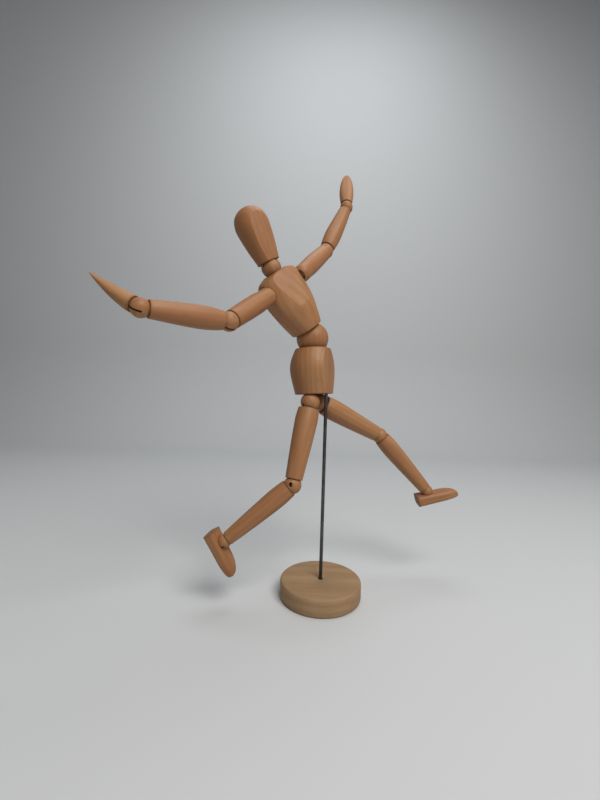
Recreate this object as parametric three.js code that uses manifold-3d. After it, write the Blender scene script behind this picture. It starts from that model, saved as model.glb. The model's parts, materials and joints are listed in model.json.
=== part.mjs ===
// Wooden artist's mannequin on a stand, in millimetres, +Z up.
// The origin is the centre of the base's underside. The figure strides towards +X.
import * as THREE from "three";
import { mergeVertices } from "three/addons/utils/BufferGeometryUtils.js";
import Module from "manifold-3d";

const wasm = await Module();
wasm.setup();

// Driving dimensions

const clearance = 0.3;
const turnedSides = 12;
const wireSides = 6;
const coilSides = 4;
const ringSides = 8;
const rodSides = 10;
const blockSides = 18;
const limbSteps = 5;
const cupSteps = 2;
const headSteps = 4;
const overshoot = 1;
const weldDistance = 1e-4;

const base = { diameter: 70, height: 15, edge: 1.5, socketDepth: 10 };
const rod = { diameter: 3, exposed: 161, depthInPelvis: 16 };

// Each joint has a ball, and the rims of the piece before it and after it stand off from its centre.
// The swing is the angle to either side that the slot in the ball leaves free.
const waist = { ball: 28, before: 9.4, after: 10.4, swing: 66 };
const neck = { ball: 16.4, before: 4.4, after: 4.9, swing: 54 };
const elbow = { ball: 14.2, before: 3.8, after: 4.8, swing: 68 };
const wrist = { ball: 12.4, before: 4.6, after: 4.8, swing: 86 };
const hip = { ball: 16.4, before: 7, after: 6.2, swing: 82 };
const knee = { ball: 14.6, before: 4.8, after: 3.8, swing: 68 };
const ankle = { ball: 11.2, before: 3.6, after: 1.8, swing: 74 };
const kneeHole = 3.6;
const rimWall = 0.8;

// At the shoulder the bead is inside the arm's own round head, which turns in the chest's socket.
const shoulder = { ball: 10.4, before: 3, after: 0, swing: 48 };
const armHead = { ball: 14.8, lip: 43 };

const pelvis = { height: 39.4, top: 31, belly: 41.2, bottom: 33.4, bellyBelowTop: 16, facet: 14.6 };
const waistLedge = 6;
const hipLedge = 12;
const rodInFront = 11.2;
const hipSpacing = 19.6;

const chest = { length: 68, shoulderSpan: 44, shoulderBelowNeck: 17, shoulderInFront: 4.8 };
const chestFoot = { width: 28.4, depth: 28.4 };
const chestWaist = { above: 20, width: 34.6, depth: 30.6 };
const chestRibs = { above: 31, width: 40, depth: 32.2 };
const chestWide = { above: 44, width: 44, depth: 30.9, shift: 1 };
const chestTop = { below: 12, width: 43.4, depth: 28.2, shift: 0.9 };
const chestCrown = { below: 6.6, width: 34, depth: 24 };
const chestNeck = { width: 21, depth: 19 };
const chestFacet = { foot: 31, front: 15.6, slope: 11 };

const head = { height: 49.4, neck: 19.4, brow: 28, browAbove: 35.4, facet: 7.8, facetSlope: 7.5, cheek: 26 };
const skullSteps = 5;

const upperArm = { length: 52, belly: 16, bellyAt: 16 };
const forearm = { length: 58.5, belly: 15.8, bellyAt: 19 };
const thigh = { length: 70.5, belly: 19.2, bellyAt: 18, topWall: 2.6 };
const shin = { length: 70.5, belly: 16.2, bellyAt: 18 };
const hand = { reach: 40, width: 14, wrist: 11, thick: 10.8, widestAt: 19, thinning: 1.6 };
const handStations = [0, 0.2, 0.4, 0.6, 0.8, 0.92, 0.99];
const foot = { length: 40, width: 14.6, height: 10.4, heelBehind: 11, toeHeight: 8, toeStart: 0.6 };
const footStations = [0, 0.3, 0.6, 0.8, 0.93, 0.99];
const footSquareness = 3;

// Wire pieces inside: the eye in each bead, the spring or screw hook that pulls on it, and their bores.
const eyeWire = 1;
const hookWire = 0.8;
const spring = { outer: 4.4, wire: 0.8, turns: 3, stepsPerTurn: 6 };
const endPlate = 1;
const eyeHead = { diameter: 2.1, height: 0.8 };
const screw = { diameter: 1.8, length: 4.6 };

// The photographed pose in degrees: a bead's twist, the bend about its eye, and the turn of what follows.
const pose = {
  figure: { turn: 66, lean: 3.8 },
  waist: { twist: 58.8, bend: -36, roll: -89.3 },
  neck: { twist: -77.5, bend: -9.3, roll: 75.1 },
  right: {
    shoulder: { twist: 7.6, bend: 18.8, roll: 0 },
    elbow: { twist: -77.1, bend: -37.8, roll: 0 },
    wrist: { twist: 24.9, bend: -50.9, roll: -62.3 },
    hip: { twist: -65.5, bend: 18.5, roll: 0 },
    knee: { twist: 52.5, bend: 39.6, roll: 0 },
    ankle: { twist: 44.4, bend: 22.1, roll: -61.6 },
  },
  left: {
    shoulder: { twist: 14.3, bend: -16, roll: 0 },
    elbow: { twist: -68.8, bend: 24.3, roll: 0 },
    wrist: { twist: -87.1, bend: 20, roll: -80.2 },
    hip: { twist: -43.5, bend: -61.4, roll: 0 },
    knee: { twist: -22.3, bend: 24.9, roll: 0 },
    ankle: { twist: 47.3, bend: 26.7, roll: -8.8 },
  },
};

// Materials

const wood = new THREE.MeshStandardMaterial({ color: 0xc79a6b, roughness: 0.45, metalness: 0 });
const rawWood = new THREE.MeshStandardMaterial({ color: 0xcdb189, roughness: 0.8, metalness: 0 });
const steel = new THREE.MeshStandardMaterial({ color: 0x70706e, roughness: 0.3, metalness: 1 });
const brass = new THREE.MeshStandardMaterial({ color: 0xb79a55, roughness: 0.35, metalness: 1 });

// Solids

const radians = THREE.MathUtils.degToRad;

function toSolid(geometry) {
  const bare = geometry.clone();
  bare.deleteAttribute("normal");
  bare.deleteAttribute("uv");
  const merged = mergeVertices(bare, weldDistance);
  const vertProperties = merged.attributes.position.array;
  const triVerts = new Uint32Array(merged.index.array);
  return new wasm.Manifold(new wasm.Mesh({ numProp: 3, vertProperties, triVerts }));
}

function toGeometry(solid) {
  const { vertProperties, triVerts } = solid.getMesh();
  const geometry = new THREE.BufferGeometry();
  geometry.setAttribute("position", new THREE.BufferAttribute(vertProperties, 3));
  geometry.setIndex(new THREE.BufferAttribute(triVerts, 1));
  return geometry;
}

function joined(geometries) {
  const [first, ...rest] = geometries.map(toSolid);
  return toGeometry(rest.reduce((sum, piece) => sum.add(piece), first));
}

function cut(geometry, tools) {
  return toGeometry(tools.map(toSolid).reduce((left, tool) => left.subtract(tool), toSolid(geometry)));
}

// A turned solid about Z from points of radius and height.
function turned(points, sides = turnedSides) {
  const profile = points.map(([radius, height]) => new THREE.Vector2(radius, height));
  return new THREE.LatheGeometry(profile, sides).rotateX(Math.PI / 2);
}

// A round bar about Z between two heights.
function bar(diameter, low, high, sides = wireSides) {
  const radius = diameter / 2;
  return turned([[0, low], [radius, low], [radius, high], [0, high]], sides);
}

function block(width, depth, low, high) {
  return new THREE.BoxGeometry(width, depth, high - low).translate(0, 0, (low + high) / 2);
}

// A sphere's outline from one angle above its equator to another, as points of radius and height.
function arc(radius, centre, from, to, steps) {
  return Array.from({ length: steps + 1 }, (_, i) => {
    const angle = from + ((to - from) * i) / steps;
    return [radius * Math.cos(angle), centre + radius * Math.sin(angle)];
  });
}

function ball(radius, sides = turnedSides) {
  const outline = arc(radius, 0, -Math.PI / 2, Math.PI / 2, sides / 2);
  outline[0][0] = 0;
  outline[outline.length - 1][0] = 0;
  return turned(outline, sides);
}

// A smooth outline through a few points.
function smooth(points, steps) {
  const curve = new THREE.SplineCurve(points.map(([x, y]) => new THREE.Vector2(x, y)));
  return curve.getPoints(steps).map((point) => [point.x, point.y]);
}

// A solid through rounded sections stacked along Z, closed by a flat face at each end.
function lofted(sections, sides, roundness = 2) {
  const positions = [];
  for (const { at, width, depth, shift = 0 } of sections) {
    for (let i = 0; i < sides; i += 1) {
      const angle = (2 * Math.PI * i) / sides;
      const c = Math.cos(angle);
      const s = Math.sin(angle);
      const x = (width / 2) * Math.sign(c) * Math.abs(c) ** (2 / roundness);
      const y = (depth / 2) * Math.sign(s) * Math.abs(s) ** (2 / roundness);
      positions.push(x, y + shift, at);
    }
  }
  const triangles = [];
  for (let row = 0; row < sections.length - 1; row += 1) {
    for (let i = 0; i < sides; i += 1) {
      const a = row * sides + i;
      const b = row * sides + ((i + 1) % sides);
      triangles.push(a, b, b + sides, a, b + sides, a + sides);
    }
  }
  const last = (sections.length - 1) * sides;
  for (let i = 1; i < sides - 1; i += 1) {
    triangles.push(0, i + 1, i, last, last + i, last + i + 1);
  }
  const geometry = new THREE.BufferGeometry();
  geometry.setAttribute("position", new THREE.Float32BufferAttribute(positions, 3));
  geometry.setIndex(triangles);
  return geometry;
}

// Fits

const flatRatio = Math.cos(Math.PI / turnedSides);
const boreDiameter = (spring.outer + 2 * clearance) / flatRatio;
const cupRadius = (joint) => joint.ball / 2 / flatRatio + clearance;
const mouthRadius = (joint, standOff) => Math.sqrt(cupRadius(joint) ** 2 - standOff ** 2);
const boreDepth = (joint) => Math.sqrt(cupRadius(joint) ** 2 - (boreDiameter / 2) ** 2);
const cupTool = (joint) => ball(cupRadius(joint));
const lipAngle = radians(armHead.lip);

const hookRadius = eyeWire / 2 + clearance + hookWire / 2;
const hookReach = hookRadius + hookWire / 2;
const eyeLeg = hookWire / 2 + clearance + eyeWire / 2;
const eyeFoot = hookReach + clearance + eyeWire / 2;
const plateStart = (joint) => cupRadius(joint) + endPlate / 2;
const headStart = (joint) => plateStart(joint) + endPlate + clearance;

// Pieces

function mesh(name, geometry, material) {
  const piece = new THREE.Mesh(geometry, material);
  piece.name = name;
  return piece;
}

// The slot that the pulling wire swings in, open to the far side of the ball.
function hookSlot(joint) {
  const room = hookReach + clearance;
  const reach = joint.ball;
  const side = room + reach * Math.sin(radians(joint.swing));
  const height = reach * Math.cos(radians(joint.swing));
  const half = [[room, -room], [room, 0], [side, height], [side, reach]];
  const mirrored = half.map(([across, up]) => [-across, up]).reverse();
  const outline = [...half, ...mirrored].map(([across, up]) => new THREE.Vector2(across, up));
  const depth = hookWire + 2 * clearance;
  return new THREE.ExtrudeGeometry(new THREE.Shape(outline), { depth, bevelEnabled: false })
    .rotateX(Math.PI / 2)
    .rotateZ(Math.PI / 2)
    .translate(-depth / 2, 0, 0);
}

function bead(joint, holes = []) {
  const reach = joint.ball;
  const eyeWidth = 2 * eyeLeg + eyeWire + 2 * clearance;
  const eyeSlot = block(eyeWidth, eyeWire + 2 * clearance, -reach, eyeWire / 2 + clearance);
  return cut(ball(joint.ball / 2), [hookSlot(joint), eyeSlot, ...holes]);
}

// The round hole in a knee's outer side.
function sideHole(out) {
  return bar(kneeHole, 0, knee.ball, turnedSides).rotateY((out * Math.PI) / 2);
}

// A headed wire: its eye's crossbar lies through the ball's centre, and its head in the piece before.
function swivelEye(headAt) {
  const crossbar = bar(eyeWire, -eyeLeg, eyeLeg).rotateY(Math.PI / 2);
  const footBar = block(2 * eyeLeg + eyeWire, eyeWire, -eyeFoot - eyeWire / 2, -eyeFoot + eyeWire / 2);
  const legs = [-1, 1].map((side) =>
    block(eyeWire, eyeWire, -eyeFoot, eyeWire / 2).translate(side * eyeLeg, 0, 0),
  );
  const shank = bar(eyeWire, -headAt - eyeHead.height / 2, -eyeFoot);
  const knob = bar(eyeHead.diameter, -headAt - eyeHead.height, -headAt);
  return joined([crossbar, footBar, ...legs, shank, knob]);
}

// The loop that hangs on a bead's eye, with its straight tail.
function hookLoop(tailEnd) {
  const loop = new THREE.TorusGeometry(hookRadius, hookWire / 2, coilSides, ringSides).rotateY(Math.PI / 2);
  const tail = bar(hookWire, hookRadius, tailEnd);
  return [loop, tail];
}

// A helix of round wire about Z between two heights.
function coil(low, high) {
  const radius = (spring.outer - spring.wire) / 2;
  const steps = spring.turns * spring.stepsPerTurn;
  const sides = coilSides;
  const positions = [];
  for (let step = 0; step <= steps; step += 1) {
    const turn = (2 * Math.PI * step) / spring.stepsPerTurn;
    const height = low + ((high - low) * step) / steps;
    for (let i = 0; i < sides; i += 1) {
      const around = (2 * Math.PI * i) / sides;
      const reach = radius + (spring.wire / 2) * Math.cos(around);
      const lift = (spring.wire / 2) * Math.sin(around);
      positions.push(reach * Math.cos(turn), reach * Math.sin(turn), height + lift);
    }
  }
  const triangles = [];
  for (let step = 0; step < steps; step += 1) {
    for (let i = 0; i < sides; i += 1) {
      const a = step * sides + i;
      const b = step * sides + ((i + 1) % sides);
      triangles.push(a, b + sides, b, a, a + sides, b + sides);
    }
  }
  const last = steps * sides;
  for (let i = 1; i < sides - 1; i += 1) {
    triangles.push(0, i, i + 1, last, last + i + 1, last + i);
  }
  const geometry = new THREE.BufferGeometry();
  geometry.setAttribute("position", new THREE.Float32BufferAttribute(positions, 3));
  geometry.setIndex(triangles);
  return geometry;
}

// A spring's closed end, which the next bead's headed wire passes through.
function eyePlate(low, high) {
  const hole = eyeWire / 2 + clearance;
  const outer = spring.outer / 2;
  return turned([[hole, low], [outer, low], [outer, high], [hole, high], [hole, low]], ringSides);
}

// A tension spring from the eye at the origin to the next bead's headed wire.
function limbSpring(length, near, far) {
  const low = plateStart(near);
  const high = length - plateStart(far);
  const plate = bar(spring.outer, low, low + endPlate, ringSides);
  const helix = coil(low + endPlate / 2, high - endPlate / 2);
  return joined([...hookLoop(low + endPlate / 2), plate, helix, eyePlate(high - endPlate, high)]);
}

function screwHook(joint) {
  const start = plateStart(joint);
  return joined([...hookLoop(start + clearance), bar(screw.diameter, start, start + screw.length)]);
}

function screwHole(joint) {
  const start = plateStart(joint);
  const diameter = screw.diameter + 2 * clearance;
  return bar(diameter / Math.cos(Math.PI / wireSides), 0, start + screw.length + clearance);
}

const boreAngle = (joint) => Math.asin(boreDepth(joint) / cupRadius(joint));
const farRim = (length, far) => [mouthRadius(far, far.before) + rimWall, length - far.before];
const farCup = (length, far) =>
  arc(cupRadius(far), length, -Math.asin(far.before / cupRadius(far)), -boreAngle(far), cupSteps);

// A turned limb between two ball centres, cupped at both ends and bored for its spring.
function limb({ length, belly, bellyAt, topWall = rimWall }, near, far) {
  const nearAngle = Math.asin(near.after / cupRadius(near));
  const nearRim = [mouthRadius(near, near.after) + topWall, near.after];
  const nearCup = arc(cupRadius(near), 0, boreAngle(near), nearAngle, cupSteps);
  const outside = smooth([nearRim, [belly / 2, bellyAt], farRim(length, far)], limbSteps);
  return turned([...outside, ...farCup(length, far), ...nearCup, outside[0]]);
}

// The upper arm has a round head, hollow for the shoulder's bead and open towards the chest.
function armLimb({ length, belly, bellyAt }, near, far) {
  const radius = armHead.ball / 2;
  const dome = arc(radius, 0, -lipAngle, 0, headSteps).slice(0, -1);
  const body = smooth([[radius, near.after], [belly / 2, bellyAt], farRim(length, far)], limbSteps);
  const nearCup = arc(cupRadius(near), 0, boreAngle(near), -lipAngle, headSteps);
  return turned([...dome, ...body, ...farCup(length, far), ...nearCup, dome[0]]);
}

function baseDisc() {
  const radius = base.diameter / 2;
  const hole = rod.diameter / 2 + 2 * clearance;
  const floor = base.height - base.socketDepth;
  return turned(
    [
      [0, 0],
      [radius - base.edge, 0],
      [radius, base.edge],
      [radius, base.height - base.edge],
      [radius - base.edge, base.height],
      [hole, base.height],
      [hole, floor],
      [0, floor],
    ],
    2 * turnedSides,
  );
}

const pelvisBottom = base.height + rod.exposed;
const supportRod = () =>
  bar(rod.diameter, base.height - base.socketDepth + clearance, pelvisBottom + rod.depthInPelvis, rodSides);

// The pelvis stands on its bottom face, with the rod's blind hole in front of its axis.
const waistHeight = pelvis.height + waist.before;
const waistHead = cupRadius(waist) + waistLedge;
const hipHead = hip.before + hipLedge;

function pelvisBlock(leanAngle) {
  const outline = smooth(
    [
      [pelvis.bottom / 2, 0],
      [pelvis.belly / 2, pelvis.height - pelvis.bellyBelowTop],
      [pelvis.top / 2, pelvis.height],
    ],
    limbSteps,
  );
  const body = turned([[0, 0], ...outline, [0, pelvis.height]], blockSides);
  const size = pelvis.belly;
  const frontAt = -pelvis.facet - size / 2;
  const front = block(size, size, -overshoot, pelvis.height + overshoot).translate(0, frontAt, 0);
  const rodHole = bar(rod.diameter + 2 * clearance, -size, rod.depthInPelvis + clearance, rodSides)
    .rotateX(leanAngle)
    .translate(0, -rodInFront, 0);
  const wireHole = eyeWire + 2 * clearance;
  const headHole = eyeHead.diameter + 4 * clearance;
  const through = bar(wireHole, -overshoot, pelvis.height + overshoot);
  const waistSeat = waistHeight - waistHead + clearance;
  const waistPocket = bar(headHole, -overshoot, waistSeat);
  const hipSeat = hipHead - hip.before - clearance;
  const hipTools = [-1, 1].flatMap((side) => [
    cupTool(hip).translate((side * hipSpacing) / 2, 0, -hip.before),
    bar(wireHole, -overshoot, pelvis.height + overshoot).translate((side * hipSpacing) / 2, 0, 0),
    bar(headHole, hipSeat, pelvis.height + overshoot).translate((side * hipSpacing) / 2, 0, 0),
  ]);
  const waistCup = cupTool(waist).translate(0, 0, waistHeight);
  return cut(body, [front, rodHole, through, waistPocket, waistCup, ...hipTools]);
}

// The chest stands on the waist ball's centre, and its shoulders' axis passes in front of its own.
const shoulderHeight = chest.length - chest.shoulderBelowNeck;
const shoulderSide = chest.shoulderSpan / 2 - shoulder.before;

function chestBlock() {
  const below = (section) => ({ ...section, at: chest.length - section.below });
  const above = (section) => ({ ...section, at: section.above });
  const body = lofted(
    [
      { ...chestFoot, at: waist.after },
      above(chestWaist),
      above(chestRibs),
      above(chestWide),
      below(chestTop),
      below(chestCrown),
      { ...chestNeck, at: chest.length - neck.before },
    ],
    blockSides,
  );
  const size = 2 * chest.length;
  const front = new THREE.BoxGeometry(size, size, size)
    .translate(0, -size / 2, size / 2)
    .rotateX(radians(-chestFacet.slope))
    .translate(0, -chestFacet.front, chestFacet.foot);
  const sides = [-1, 1].flatMap((side) => [
    block(size, size, 0, chest.length).translate(side * (shoulderSide + size / 2), 0, 0),
    cupTool(armHead).translate((side * chest.shoulderSpan) / 2, -chest.shoulderInFront, shoulderHeight),
  ]);
  const bore = bar(boreDiameter, 0, chest.length, turnedSides);
  const crossBore = bar(boreDiameter, -chest.shoulderSpan / 2, chest.shoulderSpan / 2, turnedSides)
    .rotateY(Math.PI / 2)
    .translate(0, -chest.shoulderInFront, shoulderHeight);
  const cups = [cupTool(waist), cupTool(neck).translate(0, 0, chest.length)];
  return cut(body, [front, ...sides, bore, crossBore, ...cups]);
}

// The spring across the chest, closed at both ends on the shoulders' headed wires.
function shoulderSpring() {
  const end = chest.shoulderSpan / 2 - plateStart(armHead);
  const helix = coil(-end + endPlate / 2, end - endPlate / 2);
  return joined([helix, eyePlate(-end, -end + endPlate), eyePlate(end - endPlate, end)])
    .rotateY(Math.PI / 2)
    .translate(0, -chest.shoulderInFront, shoulderHeight);
}

// The head stands on the neck ball's centre: a long egg with one flat facet for a face.
function headEgg() {
  const crown = head.height - head.browAbove;
  const jaw = smooth([[head.neck / 2, neck.after], [head.cheek / 2, head.browAbove - crown]], cupSteps);
  const skull = Array.from({ length: skullSteps + 1 }, (_, i) => {
    const angle = (Math.PI / 2) * (i / skullSteps);
    return [(head.brow / 2) * Math.cos(angle), head.browAbove + crown * Math.sin(angle)];
  });
  skull[skull.length - 1][0] = 0;
  const body = turned([[0, neck.after], ...jaw, ...skull], blockSides);
  const size = 2 * head.height;
  const face = new THREE.BoxGeometry(size, size, size)
    .translate(0, -size / 2, 0)
    .rotateX(radians(head.facetSlope))
    .translate(0, -head.facet, neck.after);
  return cut(body, [face, cupTool(neck), screwHole(neck)]);
}

// The hand is a leaf with a flat side towards +Y, reaching from the wrist ball's centre to its tip.
function handLeaf() {
  const start = wrist.after;
  const swell = hand.widestAt - start;
  const taper = hand.reach - hand.widestAt;
  const widthAt = (at) => {
    const past = (at - hand.widestAt) / taper;
    const grown = Math.sin((Math.PI / 2) * ((at - start) / swell));
    return past < 0 ? hand.wrist + (hand.width - hand.wrist) * grown : hand.width * Math.sqrt(1 - past ** 2);
  };
  const sections = handStations.map((share) => {
    const at = start + (hand.reach - start) * share;
    const depth = hand.thick * (1 - share ** hand.thinning);
    return { at, width: widthAt(at), depth, shift: (hand.thick - depth) / 2 };
  });
  return cut(lofted(sections, turnedSides), [cupTool(wrist), screwHole(wrist)]);
}

// The foot has a square-cut heel, a flat sole and a rounded toe towards +Y; the ankle is at the origin.
function footBlock() {
  const sole = ankle.after + foot.height;
  const sections = footStations.map((share) => {
    const past = Math.max(0, (share - foot.toeStart) / (1 - foot.toeStart));
    const nose = Math.sqrt(1 - past ** 2);
    const depth = (foot.height - (foot.height - foot.toeHeight) * share) * Math.sqrt(nose);
    const at = foot.length * share - foot.heelBehind;
    return { at, width: foot.width * nose, depth, shift: depth / 2 - sole };
  });
  const body = lofted(sections, turnedSides, footSquareness).rotateX(-Math.PI / 2);
  return cut(body, [cupTool(ankle), screwHole(ankle)]);
}

// Assembly

function placed(parent, [x, y, z], [turnX, turnY, turnZ] = [0, 0, 0]) {
  const group = new THREE.Group();
  group.position.set(x, y, z);
  group.rotation.set(radians(turnX), radians(turnY), radians(turnZ));
  parent.add(group);
  return group;
}

// A bead and its swivel eye at the parent's origin. The wire that pulls on the eye lies in the bend's
// plane, in the group called pull, and the wooden piece that follows is rolled in the group called next.
function balled(parent, name, joint, { twist, bend, roll }, headAt = headStart(joint), holes = []) {
  const turning = placed(parent, [0, 0, 0], [0, 0, twist]);
  turning.add(mesh(name, bead(joint, holes), wood));
  turning.add(mesh(`${name}_eye`, swivelEye(headAt), brass));
  const pull = placed(turning, [0, 0, 0], [bend, 0, 0]);
  const next = placed(pull, [0, 0, 0], [0, 0, roll]);
  return { pull, next };
}

function limbed({ pull, next }, name, size, near, far, shape = limb) {
  next.add(mesh(name, shape(size, near, far), wood));
  pull.add(mesh(`${name}_spring`, limbSpring(size.length, near, far), steel));
  return placed(next, [0, 0, size.length]);
}

function hooked({ pull, next }, name, geometry, joint) {
  next.add(mesh(name, geometry, wood));
  pull.add(mesh(`${name}_hook`, screwHook(joint), steel));
}

const mannequin = new THREE.Group();
mannequin.add(mesh("base_disc", baseDisc(), rawWood));
mannequin.add(mesh("support_rod", supportRod(), steel));

const turnedFigure = placed(mannequin, [0, 0, pelvisBottom], [0, 0, pose.figure.turn]);
const leaningFigure = placed(turnedFigure, [0, 0, 0], [-pose.figure.lean, 0, 0]);
const hips = placed(leaningFigure, [0, rodInFront, 0]);
hips.add(mesh("pelvis", pelvisBlock(radians(pose.figure.lean)), wood));

const trunk = balled(placed(hips, [0, 0, waistHeight]), "waist_ball", waist, pose.waist, waistHead);
trunk.next.add(mesh("chest", chestBlock(), wood));
trunk.pull.add(mesh("chest_spring", limbSpring(chest.length, waist, neck), steel));
trunk.next.add(mesh("shoulder_spring", shoulderSpring(), steel));

const skull = balled(placed(trunk.next, [0, 0, chest.length]), "neck_ball", neck, pose.neck);
hooked(skull, "head", headEgg(), neck);

for (const [side, out] of [["right", -1], ["left", 1]]) {
  const angles = pose[side];

  const shoulderAt = [(out * chest.shoulderSpan) / 2, -chest.shoulderInFront, shoulderHeight];
  const socket = placed(trunk.next, shoulderAt, [0, 90 * out, 0]);
  const upper = balled(socket, `${side}_shoulder_bead`, shoulder, angles.shoulder, headStart(armHead));
  const elbowEnd = limbed(upper, `${side}_upper_arm`, upperArm, shoulder, elbow, armLimb);
  const lower = balled(elbowEnd, `${side}_elbow_bead`, elbow, angles.elbow);
  const wristEnd = limbed(lower, `${side}_forearm`, forearm, elbow, wrist);
  const palm = balled(wristEnd, `${side}_wrist_bead`, wrist, angles.wrist);
  hooked(palm, `${side}_hand`, handLeaf(), wrist);

  const hipAt = [(out * hipSpacing) / 2, 0, -hip.before];
  const hanging = placed(hips, hipAt, [180, 0, 0]);
  const upperLeg = balled(hanging, `${side}_hip_bead`, hip, angles.hip, hipHead);
  const kneeEnd = limbed(upperLeg, `${side}_thigh`, thigh, hip, knee);
  const holes = [sideHole(out)];
  const lowerLeg = balled(kneeEnd, `${side}_knee_bead`, knee, angles.knee, headStart(knee), holes);
  const ankleEnd = limbed(lowerLeg, `${side}_shin`, shin, knee, ankle);
  const sole = balled(ankleEnd, `${side}_ankle_bead`, ankle, angles.ankle);
  hooked(sole, `${side}_foot`, footBlock(), ankle);
}

export default mannequin;
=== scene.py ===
import json
import math

import bpy
from mathutils import Matrix, Vector


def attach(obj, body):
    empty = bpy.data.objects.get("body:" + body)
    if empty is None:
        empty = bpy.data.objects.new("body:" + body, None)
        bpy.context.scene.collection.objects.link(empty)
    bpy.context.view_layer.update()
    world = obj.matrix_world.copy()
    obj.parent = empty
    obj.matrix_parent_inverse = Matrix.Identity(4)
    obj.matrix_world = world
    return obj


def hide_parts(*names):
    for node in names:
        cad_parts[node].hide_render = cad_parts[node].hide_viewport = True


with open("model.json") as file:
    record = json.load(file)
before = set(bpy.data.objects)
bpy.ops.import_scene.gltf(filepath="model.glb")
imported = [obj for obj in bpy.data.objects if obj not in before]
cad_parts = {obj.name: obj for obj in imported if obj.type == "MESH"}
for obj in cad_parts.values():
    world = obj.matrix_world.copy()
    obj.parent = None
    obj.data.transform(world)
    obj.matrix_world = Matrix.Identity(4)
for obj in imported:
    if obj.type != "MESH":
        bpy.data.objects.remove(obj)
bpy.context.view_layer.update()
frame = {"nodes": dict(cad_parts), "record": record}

mm = 0.001
weldDistance = 1e-6

jointList = frame["record"]["behaviour"]["joints"]
jointAt = {joint["name"]: Vector(joint["pos_m"]) for joint in jointList if "pos_m" in joint}
jointAxis = {joint["name"]: Vector(joint["axis"]) for joint in jointList}


# shop tools, small steps that every piece goes through

def putDownTools():
    if bpy.context.mode != "OBJECT":
        bpy.ops.object.mode_set(mode="OBJECT")
    bpy.ops.object.select_all(action="DESELECT")


def pickUp(piece):
    putDownTools()
    piece.select_set(True)
    bpy.context.view_layer.objects.active = piece


def openMesh(piece):
    pickUp(piece)
    bpy.ops.object.mode_set(mode="EDIT")
    bpy.ops.mesh.select_all(action="SELECT")


def nameNew(name):
    piece = bpy.context.object
    piece.name = name
    piece.data.name = name
    return piece


def settle(piece):
    pickUp(piece)
    bpy.ops.object.transform_apply(location=True, rotation=True, scale=True)


# a value on the smooth curve from b to c, with a before and d after them
def between(a, b, c, d, t):
    square = 2 * a - 5 * b + 4 * c - d
    cube = 3 * b - a - 3 * c + d
    return 0.5 * (2 * b + (c - a) * t + square * t * t + cube * t ** 3)


# a smooth line through a few control points of height and radius
def faired(points, steps):
    line = []
    last = len(points) - 1
    for i in range(last):
        p0, p1, p2, p3 = (points[max(0, min(last, i + k))] for k in (-1, 0, 1, 2))
        for step in range(steps):
            line.append(tuple(between(*four, step / steps) for four in zip(p0, p1, p2, p3)))
    line.append(tuple(points[last]))
    return line


# part of a ball's outline, between two angles above its middle
def ballLine(radius, centre, fromAngle, toAngle, steps):
    return [(centre + radius * math.sin(fromAngle + (toAngle - fromAngle) * i / steps),
             radius * math.cos(fromAngle + (toAngle - fromAngle) * i / steps)) for i in range(steps + 1)]


# lathe work: a ring is drawn and pulled along its axis from station to station, sizes in millimetres
# each station is a height, a width radius and, if it isn't round, a depth radius and a shift of its middle
def turnOnLathe(name, stations, sides=72, solid=True):
    putDownTools()
    full = [(s + (s[1], 0))[:4] if len(s) < 4 else s for s in stations]
    height, wide, deep, shift = full[0]
    bpy.ops.mesh.primitive_circle_add(vertices=sides, radius=mm, location=(0, 0, 0),
                                      fill_type="NGON" if solid else "NOTHING")
    piece = nameNew(name)
    openMesh(piece)
    bpy.ops.transform.resize(value=(wide, deep, 1), center_override=(0, 0, 0))
    bpy.ops.transform.translate(value=(0, shift * mm, height * mm))
    for nextHeight, nextWide, nextDeep, nextShift in full[1:]:
        bpy.ops.mesh.extrude_region_move(TRANSFORM_OT_translate={
            "value": (0, (nextShift - shift) * mm, (nextHeight - height) * mm)})
        bpy.ops.transform.resize(value=(nextWide / wide, nextDeep / deep, 1),
                                 center_override=(0, nextShift * mm, nextHeight * mm))
        height, wide, deep, shift = nextHeight, nextWide, nextDeep, nextShift
    bpy.ops.mesh.select_all(action="SELECT")
    bpy.ops.mesh.remove_doubles(threshold=weldDistance)
    bpy.ops.mesh.normals_make_consistent(inside=False)
    bpy.ops.object.mode_set(mode="OBJECT")
    return piece


# a flat is sawn: what lies on the side that the normal points to goes
def sawFlat(piece, point, normal):
    openMesh(piece)
    bpy.ops.mesh.bisect(plane_co=[p * mm for p in point], plane_no=normal, use_fill=True,
                        clear_outer=True, threshold=weldDistance)
    bpy.ops.object.mode_set(mode="OBJECT")


def carve(piece, tool):
    settle(tool)
    pickUp(piece)
    cutter = piece.modifiers.new("carve", "BOOLEAN")
    cutter.operation = "DIFFERENCE"
    cutter.solver = "EXACT"
    cutter.object = tool
    bpy.ops.object.modifier_apply(modifier=cutter.name)
    bpy.data.objects.remove(tool, do_unlink=True)


def ballCutter(radius, centre):
    putDownTools()
    bpy.ops.mesh.primitive_uv_sphere_add(segments=72, ring_count=36, radius=radius * mm,
                                         location=[c * mm for c in centre])
    return nameNew("ballCutter")


def slotCutter(size, centre):
    putDownTools()
    bpy.ops.mesh.primitive_cube_add(size=1, location=[c * mm for c in centre])
    cutter = nameNew("slotCutter")
    cutter.scale = [s * mm for s in size]
    return cutter


def drill(radius, low, high, turn=(0, 0, 0), at=(0, 0, 0)):
    putDownTools()
    bpy.ops.mesh.primitive_cylinder_add(vertices=48, radius=radius * mm, depth=(high - low) * mm,
                                        location=(0, 0, 0))
    tool = nameNew("drill")
    openMesh(tool)
    bpy.ops.transform.translate(value=(0, 0, (low + high) / 2 * mm))
    bpy.ops.object.mode_set(mode="OBJECT")
    tool.rotation_euler = turn
    tool.location = [a * mm for a in at]
    return tool


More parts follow.
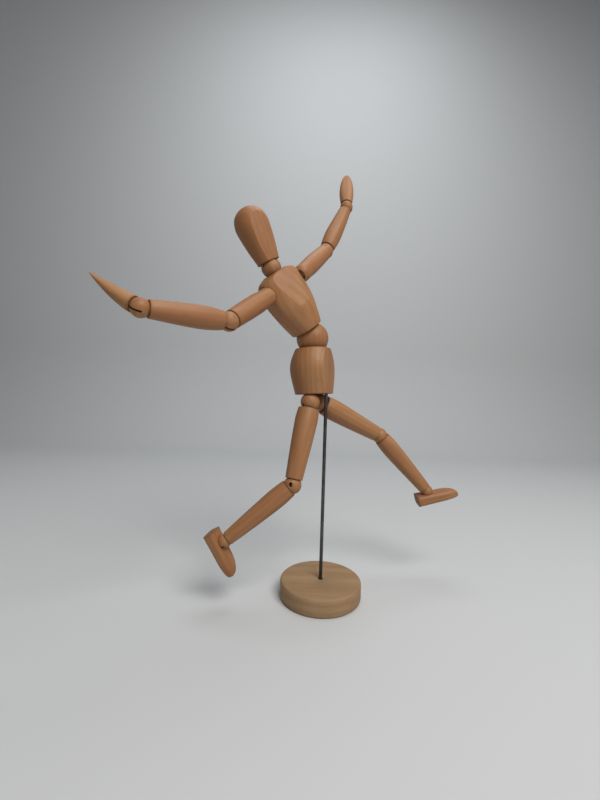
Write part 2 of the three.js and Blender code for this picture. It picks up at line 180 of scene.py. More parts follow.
def easeEdges(piece, width, angle=40, segments=3):
    pickUp(piece)
    bevel = piece.modifiers.new("ease", "BEVEL")
    bevel.width = width * mm
    bevel.segments = segments
    bevel.limit_method = "ANGLE"
    bevel.angle_limit = math.radians(angle)
    bevel.harden_normals = False
    bpy.ops.object.modifier_apply(modifier=bevel.name)


# slivers without any area go
def sweepUp(piece):
    openMesh(piece)
    bpy.ops.mesh.dissolve_degenerate(threshold=weldDistance)
    bpy.ops.object.mode_set(mode="OBJECT")


rimReach = 1.1


# the grain follows the piece it is cut from, so each mesh keeps its own coordinates from the bench
def keepGrain(piece, figure, rims):
    mesh = piece.data
    mesh.attributes.new("grain", "FLOAT_VECTOR", "POINT")
    mesh.attributes.new("rimWearAndSeamShade", "FLOAT", "POINT")
    grain = mesh.attributes["grain"]
    wearAndSeamShade = mesh.attributes["rimWearAndSeamShade"]
    for vertex in mesh.vertices:
        grain.data[vertex.index].vector = [c + f for c, f in zip(vertex.co, figure)]
        # closeness to the piece's rims, which darkens the colour there: partly worn lacquer, partly painted
        # shade in the seams where the pieces meet
        near = min([abs(vertex.co.z / mm - rim) for rim in rims], default=rimReach)
        wearAndSeamShade.data[vertex.index].value = max(0, 1 - near / rimReach)


def benchToPlace(origin, along, side):
    z = Vector(along).normalized()
    x = Vector(side) - z * z.dot(Vector(side))
    x.normalize()
    y = z.cross(x)
    place = Matrix((x, y, z)).transposed().to_4x4()
    place.translation = origin
    return place


logSpot = dict(wide=0.011, wideTurn=2.4, deep=0.012, deepTurn=1.7, long=0.083)
figureCount = 0


# each piece comes from another spot in the log
def mountPiece(piece, node, body, place, material, rims=(), smoothAngle=32):
    global figureCount
    figureCount += 1
    spot = logSpot
    figure = (spot["wide"] * math.sin(figureCount * spot["wideTurn"]),
              spot["deep"] * math.cos(figureCount * spot["deepTurn"]), spot["long"] * figureCount)
    keepGrain(piece, figure, rims)
    pickUp(piece)
    bpy.ops.object.shade_smooth_by_angle(angle=math.radians(smoothAngle))
    piece.matrix_world = place
    settle(piece)
    piece.data.materials.clear()
    piece.data.materials.append(material)
    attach(piece, body)
    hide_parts(node)


# finishes

def newFinish(name):
    finish = bpy.data.materials.new(name)
    finish.use_nodes = True
    return finish, finish.node_tree.nodes, finish.node_tree.links


def noiseAt(nodes, links, place, scale, detail=3, roughness=0.5, distortion=0):
    noise = nodes.new("ShaderNodeTexNoise")
    noise.inputs["Scale"].default_value = scale
    noise.inputs["Detail"].default_value = detail
    noise.inputs["Roughness"].default_value = roughness
    noise.inputs["Distortion"].default_value = distortion
    links.new(place, noise.inputs["Vector"])
    return noise.outputs["Fac"]


def stretched(nodes, links, place, scale, shift=(0, 0, 0), turn=(0, 0, 0)):
    mapping = nodes.new("ShaderNodeMapping")
    mapping.inputs["Scale"].default_value = scale
    mapping.inputs["Location"].default_value = shift
    mapping.inputs["Rotation"].default_value = turn
    links.new(place, mapping.inputs["Vector"])
    return mapping.outputs["Vector"]


def ranged(nodes, links, value, fromLow, fromHigh, toLow, toHigh):
    span = nodes.new("ShaderNodeMapRange")
    span.inputs["From Min"].default_value = fromLow
    span.inputs["From Max"].default_value = fromHigh
    span.inputs["To Min"].default_value = toLow
    span.inputs["To Max"].default_value = toHigh
    links.new(value, span.inputs["Value"])
    return span.outputs["Result"]


def blended(nodes, links, share, first, second, kind="MIX"):
    mix = nodes.new("ShaderNodeMix")
    mix.data_type = "RGBA"
    mix.blend_type = kind
    for socket, value in ((mix.inputs[0], share), (mix.inputs[6], first), (mix.inputs[7], second)):
        if isinstance(value, bpy.types.NodeSocket):
            links.new(value, socket)
        else:
            socket.default_value = value
    return mix.outputs[2]


def summed(nodes, links, first, second, kind="ADD"):
    sumNode = nodes.new("ShaderNodeMath")
    sumNode.operation = kind
    for socket, value in zip(sumNode.inputs, (first, second)):
        if isinstance(value, bpy.types.NodeSocket):
            links.new(value, socket)
        else:
            socket.default_value = value
    return sumNode.outputs[0]


def raised(nodes, links, height, strength, distance):
    bump = nodes.new("ShaderNodeBump")
    bump.inputs["Strength"].default_value = strength
    bump.inputs["Distance"].default_value = distance
    links.new(height, bump.inputs["Height"])
    return bump.outputs["Normal"]


# rim is the colour near each piece's rims: partly worn lacquer, partly painted shade in the seams between
# parts
lacqueredLook = dict(early=(0.36, 0.180, 0.075, 1), late=(0.262, 0.110, 0.041, 1),
                     warm=(0.312, 0.126, 0.048, 1),
                     pore=(0.15, 0.062, 0.026, 1), rim=(0.15, 0.064, 0.028, 1), ringScale=74, coat=0.06)


def makeLacqueredWood():
    look = lacqueredLook
    finish, nodes, links = newFinish("lacqueredWood")
    shader = nodes["Principled BSDF"]
    grain = nodes.new("ShaderNodeAttribute")
    grain.attribute_name = "grain"
    wearAndSeamShade = nodes.new("ShaderNodeAttribute")
    wearAndSeamShade.attribute_name = "rimWearAndSeamShade"
    place = grain.outputs["Vector"]
    log = stretched(nodes, links, place, (1, 1, 0.07), shift=(0.016, 0.022, 0))
    rings = nodes.new("ShaderNodeTexWave")  # year rings round a heart that lies outside the piece
    rings.wave_type = "RINGS"
    rings.rings_direction = "Z"
    rings.inputs["Scale"].default_value = look["ringScale"]
    rings.inputs["Distortion"].default_value = 2.2
    rings.inputs["Detail"].default_value = 3
    rings.inputs["Detail Scale"].default_value = 1.4
    links.new(log, rings.inputs["Vector"])
    slow = noiseAt(nodes, links, stretched(nodes, links, place, (60, 60, 14)), 1, 2)
    tone = blended(nodes, links, ranged(nodes, links, slow, 0.35, 0.68, 0, 1), look["early"], look["warm"])
    latewood = ranged(nodes, links, rings.outputs["Fac"], 0.2, 1, 0, 0.38)
    tone = blended(nodes, links, latewood, tone, look["late"])
    streaks = noiseAt(nodes, links, stretched(nodes, links, place, (1500, 1500, 42)), 1, 2)
    pores = ranged(nodes, links, streaks, 0.58, 0.74, 0, 0.42)
    tone = blended(nodes, links, pores, tone, look["pore"])
    fleck = noiseAt(nodes, links, stretched(nodes, links, place, (420, 420, 90)), 1, 4)
    tone = blended(nodes, links, ranged(nodes, links, fleck, 0.3, 0.7, 0, 0.16), tone, look["late"])
    # the rims are darkened towards the rim colour: partly wear, partly painted shade where the pieces meet
    rimWornAndShadedShare = ranged(nodes, links, wearAndSeamShade.outputs["Fac"], 0, 1, 0, 0.42)
    tone = blended(nodes, links, rimWornAndShadedShare, tone, look["rim"])
    links.new(tone, shader.inputs["Base Color"])
    satin = ranged(nodes, links, fleck, 0.2, 0.8, 0.46, 0.58)
    links.new(summed(nodes, links, satin, ranged(nodes, links, wearAndSeamShade.outputs["Fac"], 0, 1, 0, 0.18)),
              shader.inputs["Roughness"])
    relief = summed(nodes, links, pores, fleck, "SUBTRACT")
    links.new(raised(nodes, links, relief, 0.16, 0.00012), shader.inputs["Normal"])
    shader.inputs["Specular IOR Level"].default_value = 0.34
    shader.inputs["Coat Weight"].default_value = look["coat"]
    shader.inputs["Coat Roughness"].default_value = 0.4
    return finish


rawLook = dict(pale=(0.36, 0.235, 0.128, 1), deep=(0.28, 0.165, 0.082, 1), pore=(0.19, 0.104, 0.05, 1),
               ringScale=46, boardTurn=(0, 0, 0.5))


def makeRawWood():
    look = rawLook
    finish, nodes, links = newFinish("rawWood")
    shader = nodes["Principled BSDF"]
    coords = nodes.new("ShaderNodeTexCoord")
    turn = look["boardTurn"]
    board = stretched(nodes, links, coords.outputs["Object"], (0.05, 1, 1), shift=(0, 0.03, 0.055), turn=turn)
    rings = nodes.new("ShaderNodeTexWave")
    rings.wave_type = "RINGS"
    rings.rings_direction = "X"
    rings.inputs["Scale"].default_value = look["ringScale"]
    rings.inputs["Distortion"].default_value = 3
    rings.inputs["Detail"].default_value = 3
    rings.inputs["Detail Scale"].default_value = 1.2
    links.new(board, rings.inputs["Vector"])
    long = stretched(nodes, links, coords.outputs["Object"], (36, 1150, 1150), turn=turn)
    streaks = noiseAt(nodes, links, long, 1, 3)
    cloud = noiseAt(nodes, links, coords.outputs["Object"], 46, 3)
    latewood = ranged(nodes, links, rings.outputs["Fac"], 0.1, 1, 0, 0.55)
    tone = blended(nodes, links, latewood, look["pale"], look["deep"])
    tone = blended(nodes, links, ranged(nodes, links, cloud, 0.35, 0.7, 0, 0.35), tone, look["deep"])
    pores = ranged(nodes, links, streaks, 0.55, 0.75, 0, 0.5)
    tone = blended(nodes, links, pores, tone, look["pore"])
    links.new(tone, shader.inputs["Base Color"])
    links.new(ranged(nodes, links, streaks, 0.3, 0.7, 0.66, 0.8), shader.inputs["Roughness"])
    relief = summed(nodes, links, streaks, cloud)
    links.new(raised(nodes, links, relief, 0.25, 0.00015), shader.inputs["Normal"])
    shader.inputs["Specular IOR Level"].default_value = 0.3
    return finish


rodLook = dict(bright=(0.13, 0.125, 0.12, 1), dark=(0.06, 0.057, 0.054, 1))


def makeDrawnSteel():
    finish, nodes, links = newFinish("drawnSteel")
    shader = nodes["Principled BSDF"]
    coords = nodes.new("ShaderNodeTexCoord")
    lines = noiseAt(nodes, links, stretched(nodes, links, coords.outputs["Object"], (2600, 2600, 24)), 1, 3)
    stain = noiseAt(nodes, links, coords.outputs["Object"], 120, 4)
    stained = ranged(nodes, links, stain, 0.3, 0.7, 0, 1)
    tone = blended(nodes, links, stained, rodLook["bright"], rodLook["dark"])
    links.new(tone, shader.inputs["Base Color"])
    links.new(ranged(nodes, links, lines, 0.3, 0.7, 0.26, 0.42), shader.inputs["Roughness"])
    links.new(raised(nodes, links, lines, 0.12, 0.00005), shader.inputs["Normal"])
    shader.inputs["Metallic"].default_value = 1
    return finish


brassLook = dict(bright=(0.78, 0.55, 0.24, 1), dull=(0.50, 0.32, 0.13, 1))


def makeBrassWire():
    finish, nodes, links = newFinish("brassWire")
    shader = nodes["Principled BSDF"]
    coords = nodes.new("ShaderNodeTexCoord")
    tarnish = noiseAt(nodes, links, coords.outputs["Object"], 700, 4)
    dulled = ranged(nodes, links, tarnish, 0.35, 0.7, 0, 1)
    tone = blended(nodes, links, dulled, brassLook["bright"], brassLook["dull"])
    links.new(tone, shader.inputs["Base Color"])
    links.new(ranged(nodes, links, tarnish, 0.3, 0.7, 0.2, 0.42), shader.inputs["Roughness"])
    shader.inputs["Metallic"].default_value = 1
    return finish


lacqueredWood = makeLacqueredWood()
rawWood = makeRawWood()
drawnSteel = makeDrawnSteel()
brassWire = makeBrassWire()
print("finishes mixed")


# stand

baseSize = dict(line=[(0, 33.4), (0.35, 34.1), (1.0, 34.75), (2.0, 35), (13.0, 35), (14.1, 34.75),
                      (14.7, 34.2), (15, 33.3), (15, 20), (15, 2.45), (14.75, 2.1), (5, 2.1)], sides=128)
baseDisc = turnOnLathe("base_turned", baseSize["line"], sides=baseSize["sides"])
mountPiece(baseDisc, "base_disc", "base", Matrix.Identity(4), rawWood, smoothAngle=40)

rodSize = dict(line=[(5.4, 1.1), (5.8, 1.5), (60, 1.5), (120, 1.5), (191.5, 1.5), (191.9, 1.1)], sides=40)
rodPiece = turnOnLathe("rod_drawn", rodSize["line"], sides=rodSize["sides"])
mountPiece(rodPiece, "support_rod", "rod", Matrix.Identity(4), drawnSteel)
print("stand turned")


# balls of the joints: radius, and the angle to either side that the slot leaves free
ballSize = dict(waist=14, neck=8.2, shoulder=5.2, elbow=7.1, wrist=6.2, hip=8.2, knee=7.3, ankle=5.6)
ballSwing = dict(waist=66, neck=54, shoulder=48, elbow=68, wrist=86, hip=82, knee=68, ankle=74)
slotSize = dict(hookWide=1.5, hookDeep=2.05, eyeWide=4, eyeThick=1.6, eyeHigh=0.8, sideHole=1.8,
                overshoot=2, ease=0.18)
cupGap = 0.16


# the slot that the pulling wire swings in, a wedge that widens to the ball's far side
def swingCutter(kind, reach):
    room = slotSize["hookDeep"]
    swing = math.radians(ballSwing[kind])
    spread = room + reach * math.sin(swing)
    height = reach * math.cos(swing)
    putDownTools()
    bpy.ops.mesh.primitive_plane_add(size=1, location=(0, 0, 0))
    cutter = nameNew("swingCutter")
    openMesh(cutter)
    bpy.ops.transform.resize(value=(slotSize["hookWide"] * mm, 2 * room * mm, 1), center_override=(0, 0, 0))
    bpy.ops.transform.translate(value=(0, 0, -room * mm))
    for rise, widening in ((room, 1), (height, spread / room), (reach, 1)):
        bpy.ops.mesh.extrude_region_move(TRANSFORM_OT_translate={"value": (0, 0, rise * mm)})
        bpy.ops.transform.resize(value=(1, widening, 1), center_override=(0, 0, 0))
    bpy.ops.mesh.select_all(action="SELECT")
    bpy.ops.mesh.normals_make_consistent(inside=False)
    bpy.ops.object.mode_set(mode="OBJECT")
    return cutter


def makeBead(name, node, kind, place, outerWay=None):
    radius = ballSize[kind]
    putDownTools()
    bpy.ops.mesh.primitive_uv_sphere_add(segments=72, ring_count=40, radius=radius * mm, location=(0, 0, 0))
    bead = nameNew(name)
    reach = radius + slotSize["overshoot"]
    carve(bead, swingCutter(kind, reach))
    high = slotSize["eyeHigh"]
    eyeSlot = (slotSize["eyeWide"], slotSize["eyeThick"], reach + high)
    carve(bead, slotCutter(eyeSlot, (0, 0, (high - reach) / 2)))
    if kind == "knee":
        outer = (place.to_3x3() @ Vector((1, 0, 0))).dot(outerWay) > 0
        low, high = (0, reach) if outer else (-reach, 0)
        carve(bead, drill(slotSize["sideHole"], low, high, turn=(0, math.pi / 2, 0)))
    easeEdges(bead, slotSize["ease"], angle=50, segments=2)
    sweepUp(bead)
    mountPiece(bead, node, node, place, lacqueredWood)


def beadPlace(joint, outward):
    along = jointAxis[joint + "_twist"]
    if along.dot(outward) < 0:
        along = -along
    return benchToPlace(jointAt[joint + "_bend"], along, jointAxis[joint + "_bend"])


waistAt = jointAt["waist_bend"]
neckAt = jointAt["neck_bend"]
makeBead("waist_ball_turned", "waist_ball", "waist", beadPlace("waist", Vector((0, 0, 1))))
makeBead("neck_ball_turned", "neck_ball", "neck", beadPlace("neck", neckAt - waistAt))
for side, other in (("right", "left"), ("left", "right")):
    kinds = ("shoulder", "elbow", "wrist", "hip", "knee", "ankle")
    spots = {kind: jointAt[side + "_" + kind + "_bend"] for kind in kinds}
    outward = dict(shoulder=spots["shoulder"] - jointAt[other + "_shoulder_bend"],
                   elbow=spots["elbow"] - spots["shoulder"], wrist=spots["wrist"] - spots["elbow"],
                   hip=Vector((0, 0, -1)), knee=spots["knee"] - spots["hip"],
                   ankle=spots["ankle"] - spots["knee"])
    for kind, direction in outward.items():
        node = side + "_" + kind + "_bead"
        makeBead(node + "_turned", node, kind, beadPlace(side + "_" + kind, direction),
                 spots["hip"] - jointAt[other + "_hip_bend"])
print("beads turned and slotted")


# limbs: outline as height and radius from the upper ball's centre, sizes in millimetres
limbSize = dict(
    upper_arm=dict(near="shoulder", far="elbow", length=52,
                   head=7.35, lip=math.radians(46),
                   line=[(0, 7.35), (6, 7.35), (16, 7.8), (30, 7.6), (40, 7.25), (48.2, 6.95)]),
    forearm=dict(near="elbow", far="wrist", length=58.5,
                 line=[(4.8, 6.6), (10, 7.35), (19, 7.9), (32, 7.4), (44, 6.55), (53.9, 5.75)]),
    thigh=dict(near="hip", far="knee", length=70.5,
               line=[(6.2, 8.75), (11, 9.35), (18, 9.6), (34, 8.95), (50, 8.05), (65.7, 7.15)]),
    shin=dict(near="knee", far="ankle", length=70.5,
              line=[(3.8, 7.4), (9, 7.85), (18, 8.1), (34, 7.5), (52, 6.55), (66.9, 5.6)]))


rimEase = dict(edge=0.3, corner=0.09, swell=0.02, mouth=0.12, cupTurn=0.03)
springBore = 2.6


def makeLimb(name, node, size, place):
    near = ballSize[size["near"]] + cupGap
    far = ballSize[size["far"]] + cupGap
    length = size["length"]
    outside = faired(size["line"], 8)
    top, topRadius = outside[0]
    end, endRadius = outside[-1]
    edge, corner, swell = rimEase["edge"], rimEase["corner"], rimEase["swell"]
    mouth, cupTurn = rimEase["mouth"], rimEase["cupTurn"]
    endAngle = math.asin((length - end) / far)
    topBore = math.acos(springBore / near)
    endBore = math.acos(springBore / far)
    if "head" in size:
        lip = size["lip"]
        line = ballLine(size["head"], 0, -lip, 0, 10)[:-1]
        nearCup = ballLine(near, 0, topBore, -lip, 14)
    else:
        topAngle = math.asin(top / near)
        line = [(top, near * math.cos(topAngle) + mouth), (top, topRadius - edge),
                (top + corner, topRadius - corner), (top + edge, topRadius + swell)]
        nearCup = ballLine(near, 0, topBore, topAngle + cupTurn, 8)
        outside = outside[1:]
    line += outside[:-1]
    line += [(end - edge, endRadius + swell), (end - corner, endRadius - corner), (end, endRadius - edge),
             (end, far * math.cos(endAngle) + mouth)]
    line += ballLine(far, length, -endAngle - cupTurn, -endBore, 8)
    line += nearCup
    line.append(line[0])
    limb = turnOnLathe(name, line, solid=False)
    mountPiece(limb, node, node, place, lacqueredWood, rims=(top, end) if top else (end,))


for side in ("right", "left"):
    for part, size in limbSize.items():
        start = jointAt[side + "_" + size["near"] + "_bend"]
        stop = jointAt[side + "_" + size["far"] + "_bend"]
        node = side + "_" + part
        makeLimb(node + "_turned", node, size,
                 benchToPlace(start, stop - start, jointAxis[side + "_" + size["near"] + "_bend"]))
print("limbs turned")


# pelvis: stands on its flat underside, the rod's hole in front of its axis
pelvisSize = dict(line=[(0, 16.7), (8, 18.5), (16, 20.1), (23.4, 20.6), (31, 19.1), (39.4, 15.5)],
                  facet=14.6, hipOut=9.8, hipDown=7, waistUp=48.8, rodInFront=11.2, rodHole=1.9, rodDeep=16.4,
                  rodStart=-9, lean=math.radians(3.8), wireHole=1.8, wireLow=-1, wireHigh=12.2, waistHole=1.9,
                  waistLow=22, top=39.4, waistHigh=40, ease=0.45)
hipMiddle = (jointAt["right_hip_bend"] + jointAt["left_hip_bend"]) / 2
hipAcross = jointAt["left_hip_bend"] - jointAt["right_hip_bend"]
pelvisUp = (waistAt - hipMiddle).normalized()
pelvisPlace = benchToPlace(hipMiddle + pelvisUp * pelvisSize["hipDown"] * mm, pelvisUp, hipAcross)
pelvisLine = faired(pelvisSize["line"], 7)
pelvisPiece = turnOnLathe("pelvis_turned", pelvisLine, sides=112)
sawFlat(pelvisPiece, (0, -pelvisSize["facet"], 0), (0, -1, 0))
easeEdges(pelvisPiece, pelvisSize["ease"], angle=12)
carve(pelvisPiece, ballCutter(ballSize["waist"] + cupGap, (0, 0, pelvisSize["waistUp"])))
for out in (-1, 1):
    hipSide = out * pelvisSize["hipOut"]
    carve(pelvisPiece, ballCutter(ballSize["hip"] + cupGap, (hipSide, 0, -pelvisSize["hipDown"])))
    carve(pelvisPiece, drill(pelvisSize["wireHole"], pelvisSize["wireLow"], pelvisSize["wireHigh"],
                             at=(hipSide, 0, 0)))
carve(pelvisPiece, drill(pelvisSize["rodHole"], pelvisSize["rodStart"], pelvisSize["rodDeep"],
                         turn=(pelvisSize["lean"], 0, 0), at=(0, -pelvisSize["rodInFront"], 0)))
carve(pelvisPiece, drill(pelvisSize["waistHole"], pelvisSize["waistLow"], pelvisSize["waistHigh"]))
mountPiece(pelvisPiece, "pelvis", "pelvis", pelvisPlace, lacqueredWood,
           rims=(0, pelvisSize["top"]))
print("pelvis turned and faced")


# chest: oval sections stacked from the waist ball's centre to the neck ball's centre
chestSize = dict(sections=[(10.4, 14.2, 14.2, 0), (14.5, 15.5, 14.8, 0), (20, 17.3, 15.3, 0),
                           (31, 20, 16.1, 0), (44, 22, 15.45, 1), (51, 22.2, 14.9, 1), (56, 21.7, 14.1, 0.9),
                           (59.4, 19.8, 13, 0.5), (61.6, 16.8, 12, 0.1), (63.6, 10.5, 9.5, 0)],
                 foot=10.4, crown=63.6, length=68, boreTop=66, boreOut=18, ease=0.5,
                 facetFoot=31, facetFront=15.6, facetSlope=math.radians(11), facetBlock=80,
                 shoulderOut=22, shoulderHeight=51, shoulderFront=4.8, shoulderFlat=19, shoulderSocket=7.4)
chestUp = neckAt - waistAt
chestAcross = jointAt["left_shoulder_bend"] - jointAt["right_shoulder_bend"]
chestPlace = benchToPlace(waistAt, chestUp, chestAcross)
chestLine = faired(chestSize["sections"], 6)
chestPiece = turnOnLathe("chest_carved", chestLine, sides=112)
block = chestSize["facetBlock"]
facetCutter = slotCutter((block, block, block), (0, -block / 2, block / 2))
settle(facetCutter)
facetCutter.rotation_euler = (-chestSize["facetSlope"], 0, 0)
facetCutter.location = (0, -chestSize["facetFront"] * mm, chestSize["facetFoot"] * mm)
carve(chestPiece, facetCutter)
for out in (-1, 1):
    sawFlat(chestPiece, (out * chestSize["shoulderFlat"], 0, 0), (out, 0, 0))
easeEdges(chestPiece, chestSize["ease"], angle=13)
carve(chestPiece, ballCutter(ballSize["waist"] + cupGap, (0, 0, 0)))
carve(chestPiece, ballCutter(ballSize["neck"] + cupGap, (0, 0, chestSize["length"])))
shoulderLine = (-chestSize["shoulderFront"], chestSize["shoulderHeight"])
for out in (-1, 1):
    carve(chestPiece, ballCutter(chestSize["shoulderSocket"] + cupGap,
                                 (out * chestSize["shoulderOut"], *shoulderLine)))
carve(chestPiece, drill(springBore, chestSize["foot"], chestSize["boreTop"]))
carve(chestPiece, drill(springBore, -chestSize["boreOut"], chestSize["boreOut"], turn=(0, math.pi / 2, 0),
                        at=(0, *shoulderLine)))
mountPiece(chestPiece, "chest", "chest", chestPlace, lacqueredWood,
           rims=(chestSize["foot"], chestSize["crown"]))
print("chest carved")


# head: a long egg from the neck ball's centre, with one flat for the face
hookHole = 1.3
headSize = dict(line=[(4.9, 9.3), (9, 10.1), (15, 11.4), (22, 12.6), (29.5, 13.6), (35.4, 14), (40, 13.2),
                      (43, 12), (45.3, 10.3), (47.2, 8), (48.5, 5.4), (49.2, 2.6), (49.4, 0.2)],
                foot=4.9, facet=7.8, facetSlope=math.radians(7.5), holeLow=6, holeHigh=15, ease=0.7,
                along=(-0.4463, -0.2043, 0.8713), side=(0.7213, 0.4941, 0.4853))
headPiece = turnOnLathe("head_carved", faired(headSize["line"], 5), sides=112)
sawFlat(headPiece, (0, -headSize["facet"], headSize["foot"]),
        (0, -math.cos(headSize["facetSlope"]), -math.sin(headSize["facetSlope"])))
easeEdges(headPiece, headSize["ease"], angle=14, segments=4)
carve(headPiece, ballCutter(ballSize["neck"] + cupGap, (0, 0, 0)))
carve(headPiece, drill(hookHole, headSize["holeLow"], headSize["holeHigh"]))
mountPiece(headPiece, "head", "head", benchToPlace(neckAt, headSize["along"], headSize["side"]),
           lacqueredWood, rims=(headSize["foot"],))
print("head carved")


# hands: a leaf with its flat side to +Y
handSize = dict(start=4.8, reach=40, wide=14, wrist=11, thick=10.8, widestAt=19, thinning=1.6, stations=34,
                tipShare=0.998, holeLow=5, holeHigh=13.2, ease=0.25)
handDirection = dict(
    right=dict(along=(-0.8952, 0.1206, 0.4290), side=(-0.0986, -0.9924, 0.0731)),
    left=dict(along=(0.0155, 0.4080, 0.9129), side=(-0.9998, -0.0011, 0.0175)))


def handStations():
    size = handSize
    stations = []
    for i in range(size["stations"] + 1):
        share = math.sin(math.pi / 2 * i / size["stations"]) * size["tipShare"]
        height = size["start"] + (size["reach"] - size["start"]) * share
        past = (height - size["widestAt"]) / (size["reach"] - size["widestAt"])
        if past < 0:
            grown = math.sin(math.pi / 2 * (height - size["start"]) / (size["widestAt"] - size["start"]))
            wide = size["wrist"] + (size["wide"] - size["wrist"]) * grown
        else:
            wide = size["wide"] * math.sqrt(1 - past ** 2)
        deep = size["thick"] * (1 - share ** size["thinning"])
        stations.append((height, wide / 2, deep / 2, (size["thick"] - deep) / 2))
    return stations


for side in ("right", "left"):
    hand = turnOnLathe(side + "_hand_carved", handStations(), sides=80)
    carve(hand, ballCutter(ballSize["wrist"] + cupGap, (0, 0, 0)))
    carve(hand, drill(hookHole, handSize["holeLow"], handSize["holeHigh"]))
    easeEdges(hand, handSize["ease"], segments=2)
    sweepUp(hand)
    direction = handDirection[side]
    mountPiece(hand, side + "_hand", side + "_hand",
               benchToPlace(jointAt[side + "_wrist_bend"], direction["along"], direction["side"]),
               lacqueredWood, rims=(handSize["start"],))
print("hands carved")


# feet: a square-cut heel, a flat sole and a rounded toe; on the bench the length runs up
footSize = dict(length=40, wide=14.6, height=10.4, heelBehind=11, toeHeight=8, toeStart=0.6, ankleDrop=1.8,
                corner=3.2, stations=30, tipShare=0.997, holeLow=4, holeHigh=11.4, ease=0.5)
footDirection = dict(
    right=dict(toe=(0.5081, 0.0007, -0.8613), sole=(-0.8234, 0.2937, -0.4855)),
    left=dict(toe=(0.9611, 0.0017, 0.2763), sole=(0.2744, 0.1121, -0.9551)))


def makeFoot(side):
    size = footSize
    putDownTools()
    bpy.ops.mesh.primitive_plane_add(size=1, location=(0, 0, 0))
    foot = nameNew(side + "_foot_carved")
    openMesh(foot)
    bpy.ops.transform.resize(value=(size["wide"] * mm, size["height"] * mm, 1), center_override=(0, 0, 0))
    bpy.ops.mesh.bevel(offset=size["corner"] * mm, segments=8, affect="VERTICES")
    sole = -size["ankleDrop"] - size["height"]
    middle = sole + size["height"] / 2
    height = -size["heelBehind"]
    bpy.ops.transform.translate(value=(0, middle * mm, height * mm))
    wide, deep = size["wide"], size["height"]
    for i in range(1, size["stations"] + 1):
        share = math.sin(math.pi / 2 * i / size["stations"]) * size["tipShare"]
        past = max(0, (share - size["toeStart"]) / (1 - size["toeStart"]))
        nose = math.sqrt(1 - past ** 2)
        nextWide = size["wide"] * nose
        nextDeep = (size["height"] - (size["height"] - size["toeHeight"]) * share) * math.sqrt(nose)
        nextHeight = size["length"] * share - size["heelBehind"]
        nextMiddle = sole + nextDeep / 2
        bpy.ops.mesh.extrude_region_move(TRANSFORM_OT_translate={
            "value": (0, (nextMiddle - middle) * mm, (nextHeight - height) * mm)})
        bpy.ops.transform.resize(value=(nextWide / wide, nextDeep / deep, 1),
                                 center_override=(0, nextMiddle * mm, nextHeight * mm))
        wide, deep, height, middle = nextWide, nextDeep, nextHeight, nextMiddle
    bpy.ops.mesh.select_all(action="SELECT")
    bpy.ops.mesh.normals_make_consistent(inside=False)
    bpy.ops.object.mode_set(mode="OBJECT")
    easeEdges(foot, size["ease"], angle=35)
    carve(foot, ballCutter(ballSize["ankle"] + cupGap, (0, 0, 0)))
    carve(foot, drill(hookHole, size["holeLow"], size["holeHigh"], turn=(math.pi / 2, 0, 0)))
    sweepUp(foot)
    direction = footDirection[side]
    toe = Vector(direction["toe"])
    soleWay = Vector(direction["sole"])
    place = benchToPlace(jointAt[side + "_ankle_bend"], toe, toe.cross(soleWay))
    mountPiece(foot, side + "_foot", side + "_foot", place, lacqueredWood,
               rims=(-size["heelBehind"],))


for side in ("right", "left"):
    makeFoot(side)
print("feet carved")


# wire inside: the frame's own solids, dressed as brass and steel
for nodeName, node in frame["nodes"].items():
    if nodeName.endswith("_eye"):
        node.data.materials.clear()
        node.data.materials.append(brassWire)
    elif nodeName.endswith(("_spring", "_hook")):
        node.data.materials.clear()
        node.data.materials.append(drawnSteel)
print("wires dressed")


# studio

studioSize = dict(floor=(0.6, 0.615, 0.625, 1), reach=1.4, back=0.75, curve=0.35, turns=12, high=1.6,
                  floorAt=-0.0002, nearBack=0.01)


def makeStudio():
    size = studioSize
    putDownTools()
    bpy.ops.mesh.primitive_plane_add(size=2 * size["reach"],
                                     location=(0, size["back"] - size["reach"], size["floorAt"]))
    floor = nameNew("studio_floor")
    settle(floor)
    openMesh(floor)
    bpy.ops.mesh.select_mode(type="EDGE")
    bpy.ops.mesh.select_all(action="DESELECT")
    bpy.ops.object.mode_set(mode="OBJECT")
    farSide = size["back"] - size["nearBack"]
    for edge in floor.data.edges:
        edge.select = all(floor.data.vertices[v].co.y > farSide for v in edge.vertices)
    bpy.ops.object.mode_set(mode="EDIT")
    step = size["curve"] * math.pi / 2 / size["turns"]
    for i in range(size["turns"]):
        angle = math.pi / 2 * (i + 0.5) / size["turns"]
        bpy.ops.mesh.extrude_region_move(TRANSFORM_OT_translate={
            "value": (0, step * math.cos(angle), step * math.sin(angle))})
    bpy.ops.mesh.extrude_region_move(TRANSFORM_OT_translate={"value": (0, 0, size["high"])})
    bpy.ops.object.mode_set(mode="OBJECT")
    bpy.ops.object.shade_smooth()
    finish, nodes, _ = newFinish("paleFloor")
    shader = nodes["Principled BSDF"]
    shader.inputs["Base Color"].default_value = size["floor"]
    shader.inputs["Roughness"].default_value = 0.9
    shader.inputs["Specular IOR Level"].default_value = 0.1
    floor.data.materials.append(finish)


makeStudio()

lampSize = dict(
    key=dict(at=(0.42, -0.72, 1.05), aim=(0, 0, 0.2), size=0.7, power=14, colour=(1, 0.97, 0.93)),
    fill=dict(at=(-0.7, -0.75, 0.5), aim=(0, 0, 0.2), size=0.9, power=0.2, colour=(0.95, 0.97, 1)),
    wall=dict(at=(0.1, 0.35, 1.5), aim=(0, 0.95, 0.3), size=0.8, power=6, colour=(0.96, 0.98, 1)))


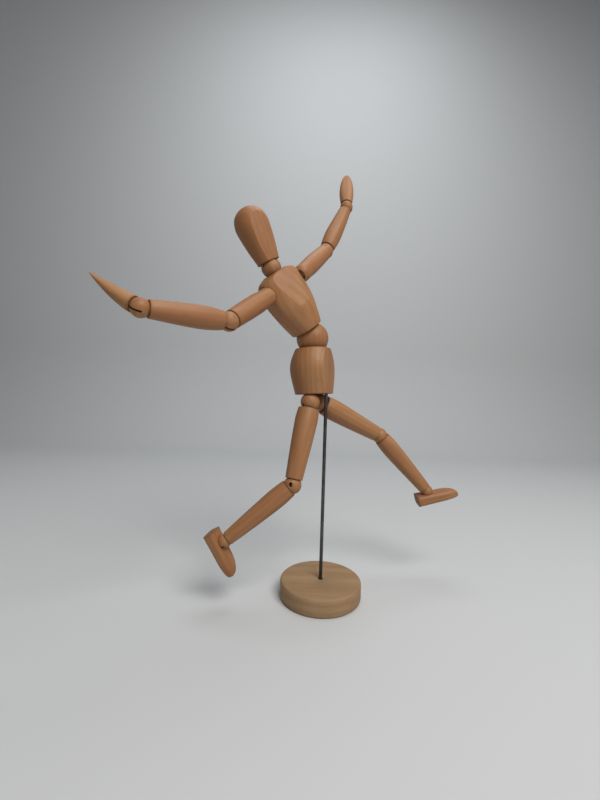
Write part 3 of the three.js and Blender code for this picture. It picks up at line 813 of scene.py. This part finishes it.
def hangLamp(name, lamp):
    data = bpy.data.lights.new(name, "AREA")
    data.energy = lamp["power"]
    data.size = lamp["size"]
    data.color = lamp["colour"]
    light = bpy.data.objects.new(name, data)
    light.location = lamp["at"]
    light.rotation_euler = (Vector(lamp["aim"]) - Vector(lamp["at"])).to_track_quat("-Z", "Y").to_euler()
    bpy.context.collection.objects.link(light)


for name, lamp in lampSize.items():
    hangLamp(name + "_lamp", lamp)

airSize = dict(colour=(0.82, 0.85, 0.88, 1), light=0.13, seen=0.46)


# the air gives little light, and looks as pale as the backdrop where the view or a shiny piece meets it
def fillAir():
    world = bpy.data.worlds.new("studioAir")
    bpy.context.scene.world = world
    world.use_nodes = True
    nodes, links = world.node_tree.nodes, world.node_tree.links
    rays = nodes.new("ShaderNodeLightPath")
    seen = summed(nodes, links, rays.outputs["Is Camera Ray"], rays.outputs["Is Glossy Ray"], "MAXIMUM")
    seen = summed(nodes, links, seen, rays.outputs["Is Transmission Ray"], "MAXIMUM")
    air = nodes["Background"]
    air.inputs["Color"].default_value = airSize["colour"]
    links.new(ranged(nodes, links, seen, 0, 1, airSize["light"], airSize["seen"]), air.inputs["Strength"])


fillAir()

viewSize = dict(at=(-0.0225, -0.3203, 0.1743), pitch=math.radians(0.82), roll=math.radians(1.73), lens=16.65)


def setCamera():
    pitch, roll = viewSize["pitch"], viewSize["roll"]
    right = Vector((1, 0, 0))
    ahead = Vector((0, math.cos(pitch), -math.sin(pitch)))
    up = Vector((0, math.sin(pitch), math.cos(pitch)))
    tiltedRight = right * math.cos(roll) + up * math.sin(roll)
    tiltedUp = up * math.cos(roll) - right * math.sin(roll)
    data = bpy.data.cameras.new("viewer")
    data.sensor_width = 36
    data.lens = viewSize["lens"]
    data.clip_start = 0.01
    camera = bpy.data.objects.new("viewer", data)
    place = Matrix((tiltedRight, tiltedUp, -ahead)).transposed().to_4x4()
    place.translation = viewSize["at"]
    camera.matrix_world = place
    bpy.context.collection.objects.link(camera)
    bpy.context.scene.camera = camera


setCamera()
bpy.context.scene.view_settings.view_transform = "Standard"
print("studio lit")
